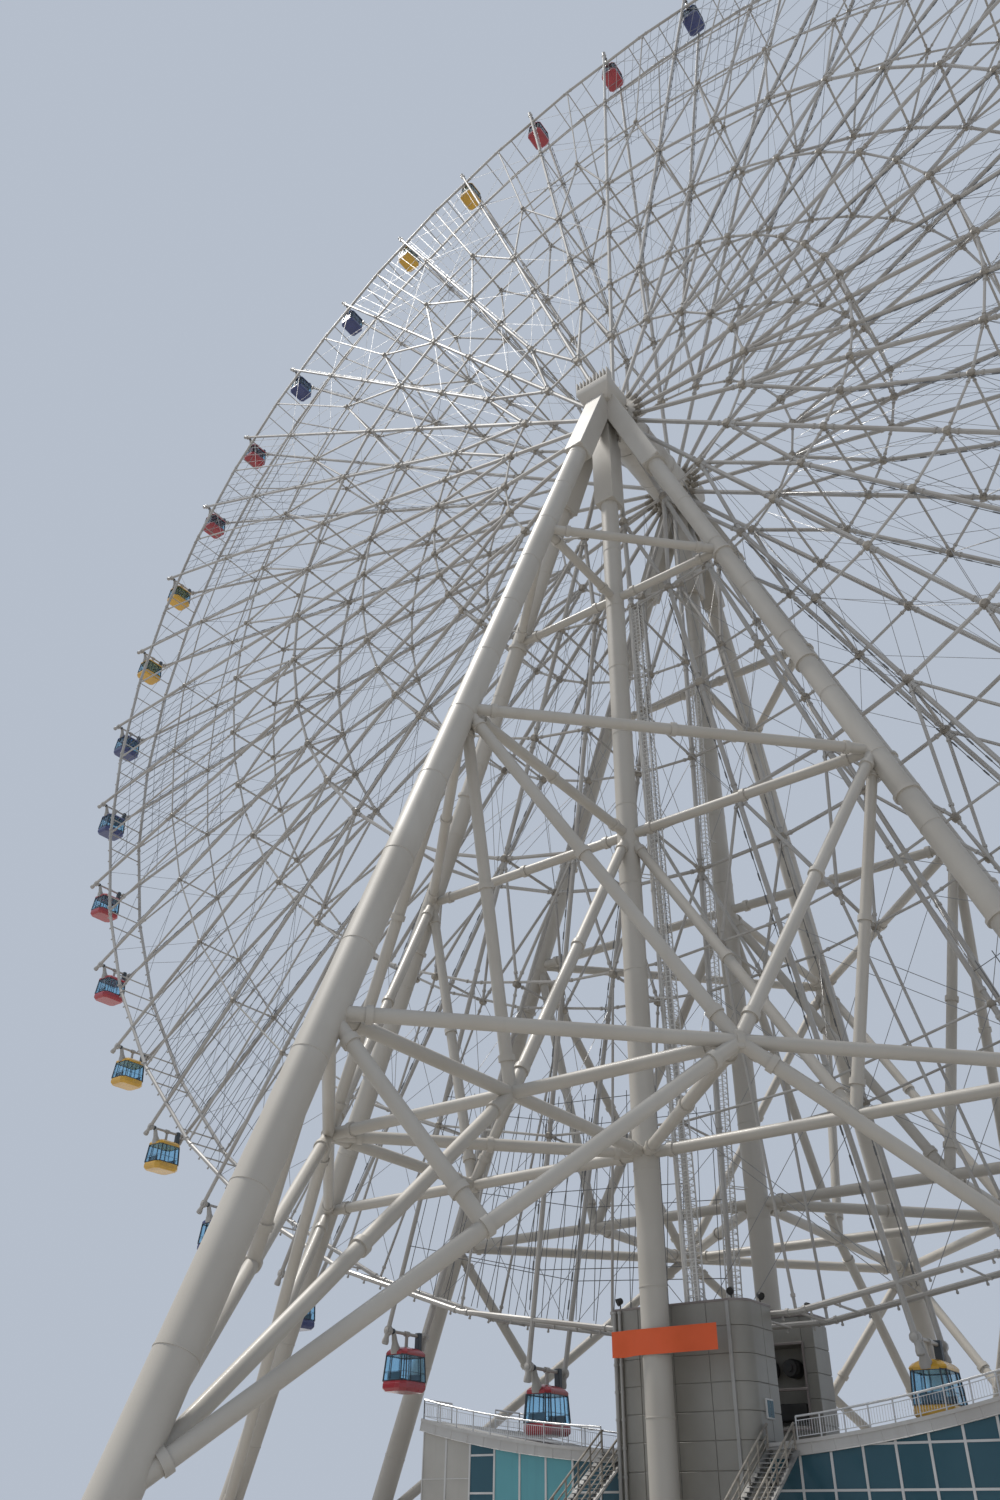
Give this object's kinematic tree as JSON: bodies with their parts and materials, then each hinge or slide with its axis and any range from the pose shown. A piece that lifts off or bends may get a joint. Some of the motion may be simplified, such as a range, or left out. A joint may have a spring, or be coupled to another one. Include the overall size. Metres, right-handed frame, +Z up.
{
  "type": "ferris wheel, 1:10 scale model",
  "caption": "Large observation wheel on braced tripod towers, with hanging cabins that stay level and a boarding deck under the rim, as a 1:10 scale model.",
  "frame": {"origin": "on the ground, straight under the middle of the hub", "axes": "+Z up, X in the plane of the wheel, Y along the axle with the viewer's side at -Y"},
  "size_m": [15.3476, 8.24, 16.0408],
  "materials": {
    "tower_paint": "satin",
    "wheel_paint": "satin",
    "hub_paint": "satin",
    "house_panel": "satin",
    "deck_paint": "satin",
    "hall_wall": "satin",
    "stair_steel": "satin",
    "cabin_red": "satin",
    "cabin_yellow": "satin",
    "cabin_blue": "satin"
  },
  "bodies": {
    "root": {"near_post": "tower_paint", "near_left_leg": "tower_paint", "near_right_leg": "tower_paint", "near_raker": "tower_paint", "near_bracing": "tower_paint", "far_post": "tower_paint", "far_left_leg": "tower_paint", "far_right_leg": "tower_paint", "far_raker": "tower_paint", "far_bracing": "tower_paint", "lift_house": "house_panel", "drive_house": "house_panel", "boarding_deck": "deck_paint", "left_hall": "hall_wall", "right_hall": "hall_wall", "left_stair": "stair_steel", "right_stair": "stair_steel"},
    "wheel": {"hub_drum": "hub_paint", "near_face": "wheel_paint", "far_face": "wheel_paint"},
    "cabin_01": {"cabin_01": "cabin_red"},
    "cabin_02": {"cabin_02": "cabin_blue"},
    "cabin_03": {"cabin_03": "cabin_blue"},
    "cabin_04": {"cabin_04": "cabin_yellow"},
    "cabin_05": {"cabin_05": "cabin_yellow"},
    "cabin_06": {"cabin_06": "cabin_blue"},
    "cabin_07": {"cabin_07": "cabin_blue"},
    "cabin_08": {"cabin_08": "cabin_yellow"},
    "cabin_09": {"cabin_09": "cabin_yellow"},
    "cabin_10": {"cabin_10": "cabin_red"},
    "cabin_11": {"cabin_11": "cabin_red"},
    "cabin_12": {"cabin_12": "cabin_blue"},
    "cabin_13": {"cabin_13": "cabin_blue"},
    "cabin_14": {"cabin_14": "cabin_yellow"},
    "cabin_15": {"cabin_15": "cabin_yellow"},
    "cabin_16": {"cabin_16": "cabin_red"},
    "cabin_17": {"cabin_17": "cabin_red"},
    "cabin_18": {"cabin_18": "cabin_blue"},
    "cabin_19": {"cabin_19": "cabin_blue"},
    "cabin_20": {"cabin_20": "cabin_yellow"},
    "cabin_21": {"cabin_21": "cabin_yellow"},
    "cabin_22": {"cabin_22": "cabin_red"},
    "cabin_23": {"cabin_23": "cabin_red"},
    "cabin_24": {"cabin_24": "cabin_blue"},
    "cabin_25": {"cabin_25": "cabin_blue"},
    "cabin_26": {"cabin_26": "cabin_yellow"},
    "cabin_27": {"cabin_27": "cabin_yellow"},
    "cabin_28": {"cabin_28": "cabin_red"},
    "cabin_29": {"cabin_29": "cabin_red"},
    "cabin_30": {"cabin_30": "cabin_blue"},
    "cabin_31": {"cabin_31": "cabin_blue"},
    "cabin_32": {"cabin_32": "cabin_yellow"},
    "cabin_33": {"cabin_33": "cabin_yellow"},
    "cabin_34": {"cabin_34": "cabin_red"},
    "cabin_35": {"cabin_35": "cabin_red"},
    "cabin_36": {"cabin_36": "cabin_blue"},
    "cabin_37": {"cabin_37": "cabin_blue"},
    "cabin_38": {"cabin_38": "cabin_yellow"},
    "cabin_39": {"cabin_39": "cabin_yellow"},
    "cabin_40": {"cabin_40": "cabin_red"}
  },
  "joints": [
    {"name": "wheel_turn", "type": "hinge", "parent": "root", "child": "wheel", "pos_m": [0, 0, 8.4], "axis": [0, 1, 0], "continuous": true},
    {"name": "cabin_01_swing", "type": "hinge", "parent": "wheel", "child": "cabin_01", "pos_m": [0, 0, 15.95], "axis": [0, 1, 0], "continuous": true},
    {"name": "cabin_02_swing", "type": "hinge", "parent": "wheel", "child": "cabin_02", "pos_m": [1.18108, 0, 15.85705], "axis": [0, 1, 0], "continuous": true},
    {"name": "cabin_03_swing", "type": "hinge", "parent": "wheel", "child": "cabin_03", "pos_m": [2.33308, 0, 15.58048], "axis": [0, 1, 0], "continuous": true},
    {"name": "cabin_04_swing", "type": "hinge", "parent": "wheel", "child": "cabin_04", "pos_m": [3.42763, 0, 15.1271], "axis": [0, 1, 0], "continuous": true},
    {"name": "cabin_05_swing", "type": "hinge", "parent": "wheel", "child": "cabin_05", "pos_m": [4.43778, 0, 14.50808], "axis": [0, 1, 0], "continuous": true},
    {"name": "cabin_06_swing", "type": "hinge", "parent": "wheel", "child": "cabin_06", "pos_m": [5.33866, 0, 13.73866], "axis": [0, 1, 0], "continuous": true},
    {"name": "cabin_07_swing", "type": "hinge", "parent": "wheel", "child": "cabin_07", "pos_m": [6.10808, 0, 12.83778], "axis": [0, 1, 0], "continuous": true},
    {"name": "cabin_08_swing", "type": "hinge", "parent": "wheel", "child": "cabin_08", "pos_m": [6.7271, 0, 11.82763], "axis": [0, 1, 0], "continuous": true},
    {"name": "cabin_09_swing", "type": "hinge", "parent": "wheel", "child": "cabin_09", "pos_m": [7.18048, 0, 10.73308], "axis": [0, 1, 0], "continuous": true},
    {"name": "cabin_10_swing", "type": "hinge", "parent": "wheel", "child": "cabin_10", "pos_m": [7.45705, 0, 9.58108], "axis": [0, 1, 0], "continuous": true},
    {"name": "cabin_11_swing", "type": "hinge", "parent": "wheel", "child": "cabin_11", "pos_m": [7.55, 0, 8.4], "axis": [0, 1, 0], "continuous": true},
    {"name": "cabin_12_swing", "type": "hinge", "parent": "wheel", "child": "cabin_12", "pos_m": [7.45705, 0, 7.21892], "axis": [0, 1, 0], "continuous": true},
    {"name": "cabin_13_swing", "type": "hinge", "parent": "wheel", "child": "cabin_13", "pos_m": [7.18048, 0, 6.06692], "axis": [0, 1, 0], "continuous": true},
    {"name": "cabin_14_swing", "type": "hinge", "parent": "wheel", "child": "cabin_14", "pos_m": [6.7271, 0, 4.97237], "axis": [0, 1, 0], "continuous": true},
    {"name": "cabin_15_swing", "type": "hinge", "parent": "wheel", "child": "cabin_15", "pos_m": [6.10808, 0, 3.96222], "axis": [0, 1, 0], "continuous": true},
    {"name": "cabin_16_swing", "type": "hinge", "parent": "wheel", "child": "cabin_16", "pos_m": [5.33866, 0, 3.06134], "axis": [0, 1, 0], "continuous": true},
    {"name": "cabin_17_swing", "type": "hinge", "parent": "wheel", "child": "cabin_17", "pos_m": [4.43778, 0, 2.29192], "axis": [0, 1, 0], "continuous": true},
    {"name": "cabin_18_swing", "type": "hinge", "parent": "wheel", "child": "cabin_18", "pos_m": [3.42763, 0, 1.6729], "axis": [0, 1, 0], "continuous": true},
    {"name": "cabin_19_swing", "type": "hinge", "parent": "wheel", "child": "cabin_19", "pos_m": [2.33308, 0, 1.21952], "axis": [0, 1, 0], "continuous": true},
    {"name": "cabin_20_swing", "type": "hinge", "parent": "wheel", "child": "cabin_20", "pos_m": [1.18108, 0, 0.94295], "axis": [0, 1, 0], "continuous": true},
    {"name": "cabin_21_swing", "type": "hinge", "parent": "wheel", "child": "cabin_21", "pos_m": [0, 0, 0.85], "axis": [0, 1, 0], "continuous": true},
    {"name": "cabin_22_swing", "type": "hinge", "parent": "wheel", "child": "cabin_22", "pos_m": [-1.18108, 0, 0.94295], "axis": [0, 1, 0], "continuous": true},
    {"name": "cabin_23_swing", "type": "hinge", "parent": "wheel", "child": "cabin_23", "pos_m": [-2.33308, 0, 1.21952], "axis": [0, 1, 0], "continuous": true},
    {"name": "cabin_24_swing", "type": "hinge", "parent": "wheel", "child": "cabin_24", "pos_m": [-3.42763, 0, 1.6729], "axis": [0, 1, 0], "continuous": true},
    {"name": "cabin_25_swing", "type": "hinge", "parent": "wheel", "child": "cabin_25", "pos_m": [-4.43778, 0, 2.29192], "axis": [0, 1, 0], "continuous": true},
    {"name": "cabin_26_swing", "type": "hinge", "parent": "wheel", "child": "cabin_26", "pos_m": [-5.33866, 0, 3.06134], "axis": [0, 1, 0], "continuous": true},
    {"name": "cabin_27_swing", "type": "hinge", "parent": "wheel", "child": "cabin_27", "pos_m": [-6.10808, 0, 3.96222], "axis": [0, 1, 0], "continuous": true},
    {"name": "cabin_28_swing", "type": "hinge", "parent": "wheel", "child": "cabin_28", "pos_m": [-6.7271, 0, 4.97237], "axis": [0, 1, 0], "continuous": true},
    {"name": "cabin_29_swing", "type": "hinge", "parent": "wheel", "child": "cabin_29", "pos_m": [-7.18048, 0, 6.06692], "axis": [0, 1, 0], "continuous": true},
    {"name": "cabin_30_swing", "type": "hinge", "parent": "wheel", "child": "cabin_30", "pos_m": [-7.45705, 0, 7.21892], "axis": [0, 1, 0], "continuous": true},
    {"name": "cabin_31_swing", "type": "hinge", "parent": "wheel", "child": "cabin_31", "pos_m": [-7.55, 0, 8.4], "axis": [0, 1, 0], "continuous": true},
    {"name": "cabin_32_swing", "type": "hinge", "parent": "wheel", "child": "cabin_32", "pos_m": [-7.45705, 0, 9.58108], "axis": [0, 1, 0], "continuous": true},
    {"name": "cabin_33_swing", "type": "hinge", "parent": "wheel", "child": "cabin_33", "pos_m": [-7.18048, 0, 10.73308], "axis": [0, 1, 0], "continuous": true},
    {"name": "cabin_34_swing", "type": "hinge", "parent": "wheel", "child": "cabin_34", "pos_m": [-6.7271, 0, 11.82763], "axis": [0, 1, 0], "continuous": true},
    {"name": "cabin_35_swing", "type": "hinge", "parent": "wheel", "child": "cabin_35", "pos_m": [-6.10808, 0, 12.83778], "axis": [0, 1, 0], "continuous": true},
    {"name": "cabin_36_swing", "type": "hinge", "parent": "wheel", "child": "cabin_36", "pos_m": [-5.33866, 0, 13.73866], "axis": [0, 1, 0], "continuous": true},
    {"name": "cabin_37_swing", "type": "hinge", "parent": "wheel", "child": "cabin_37", "pos_m": [-4.43778, 0, 14.50808], "axis": [0, 1, 0], "continuous": true},
    {"name": "cabin_38_swing", "type": "hinge", "parent": "wheel", "child": "cabin_38", "pos_m": [-3.42763, 0, 15.1271], "axis": [0, 1, 0], "continuous": true},
    {"name": "cabin_39_swing", "type": "hinge", "parent": "wheel", "child": "cabin_39", "pos_m": [-2.33308, 0, 15.58048], "axis": [0, 1, 0], "continuous": true},
    {"name": "cabin_40_swing", "type": "hinge", "parent": "wheel", "child": "cabin_40", "pos_m": [-1.18108, 0, 15.85705], "axis": [0, 1, 0], "continuous": true}
  ],
  "couplings": [
    {"joint": "cabin_01_swing", "follows": "wheel_turn", "ratio": -1},
    {"joint": "cabin_02_swing", "follows": "wheel_turn", "ratio": -1},
    {"joint": "cabin_03_swing", "follows": "wheel_turn", "ratio": -1},
    {"joint": "cabin_04_swing", "follows": "wheel_turn", "ratio": -1},
    {"joint": "cabin_05_swing", "follows": "wheel_turn", "ratio": -1},
    {"joint": "cabin_06_swing", "follows": "wheel_turn", "ratio": -1},
    {"joint": "cabin_07_swing", "follows": "wheel_turn", "ratio": -1},
    {"joint": "cabin_08_swing", "follows": "wheel_turn", "ratio": -1},
    {"joint": "cabin_09_swing", "follows": "wheel_turn", "ratio": -1},
    {"joint": "cabin_10_swing", "follows": "wheel_turn", "ratio": -1},
    {"joint": "cabin_11_swing", "follows": "wheel_turn", "ratio": -1},
    {"joint": "cabin_12_swing", "follows": "wheel_turn", "ratio": -1},
    {"joint": "cabin_13_swing", "follows": "wheel_turn", "ratio": -1},
    {"joint": "cabin_14_swing", "follows": "wheel_turn", "ratio": -1},
    {"joint": "cabin_15_swing", "follows": "wheel_turn", "ratio": -1},
    {"joint": "cabin_16_swing", "follows": "wheel_turn", "ratio": -1},
    {"joint": "cabin_17_swing", "follows": "wheel_turn", "ratio": -1},
    {"joint": "cabin_18_swing", "follows": "wheel_turn", "ratio": -1},
    {"joint": "cabin_19_swing", "follows": "wheel_turn", "ratio": -1},
    {"joint": "cabin_20_swing", "follows": "wheel_turn", "ratio": -1},
    {"joint": "cabin_21_swing", "follows": "wheel_turn", "ratio": -1},
    {"joint": "cabin_22_swing", "follows": "wheel_turn", "ratio": -1},
    {"joint": "cabin_23_swing", "follows": "wheel_turn", "ratio": -1},
    {"joint": "cabin_24_swing", "follows": "wheel_turn", "ratio": -1},
    {"joint": "cabin_25_swing", "follows": "wheel_turn", "ratio": -1},
    {"joint": "cabin_26_swing", "follows": "wheel_turn", "ratio": -1},
    {"joint": "cabin_27_swing", "follows": "wheel_turn", "ratio": -1},
    {"joint": "cabin_28_swing", "follows": "wheel_turn", "ratio": -1},
    {"joint": "cabin_29_swing", "follows": "wheel_turn", "ratio": -1},
    {"joint": "cabin_30_swing", "follows": "wheel_turn", "ratio": -1},
    {"joint": "cabin_31_swing", "follows": "wheel_turn", "ratio": -1},
    {"joint": "cabin_32_swing", "follows": "wheel_turn", "ratio": -1},
    {"joint": "cabin_33_swing", "follows": "wheel_turn", "ratio": -1},
    {"joint": "cabin_34_swing", "follows": "wheel_turn", "ratio": -1},
    {"joint": "cabin_35_swing", "follows": "wheel_turn", "ratio": -1},
    {"joint": "cabin_36_swing", "follows": "wheel_turn", "ratio": -1},
    {"joint": "cabin_37_swing", "follows": "wheel_turn", "ratio": -1},
    {"joint": "cabin_38_swing", "follows": "wheel_turn", "ratio": -1},
    {"joint": "cabin_39_swing", "follows": "wheel_turn", "ratio": -1},
    {"joint": "cabin_40_swing", "follows": "wheel_turn", "ratio": -1}
  ]
}
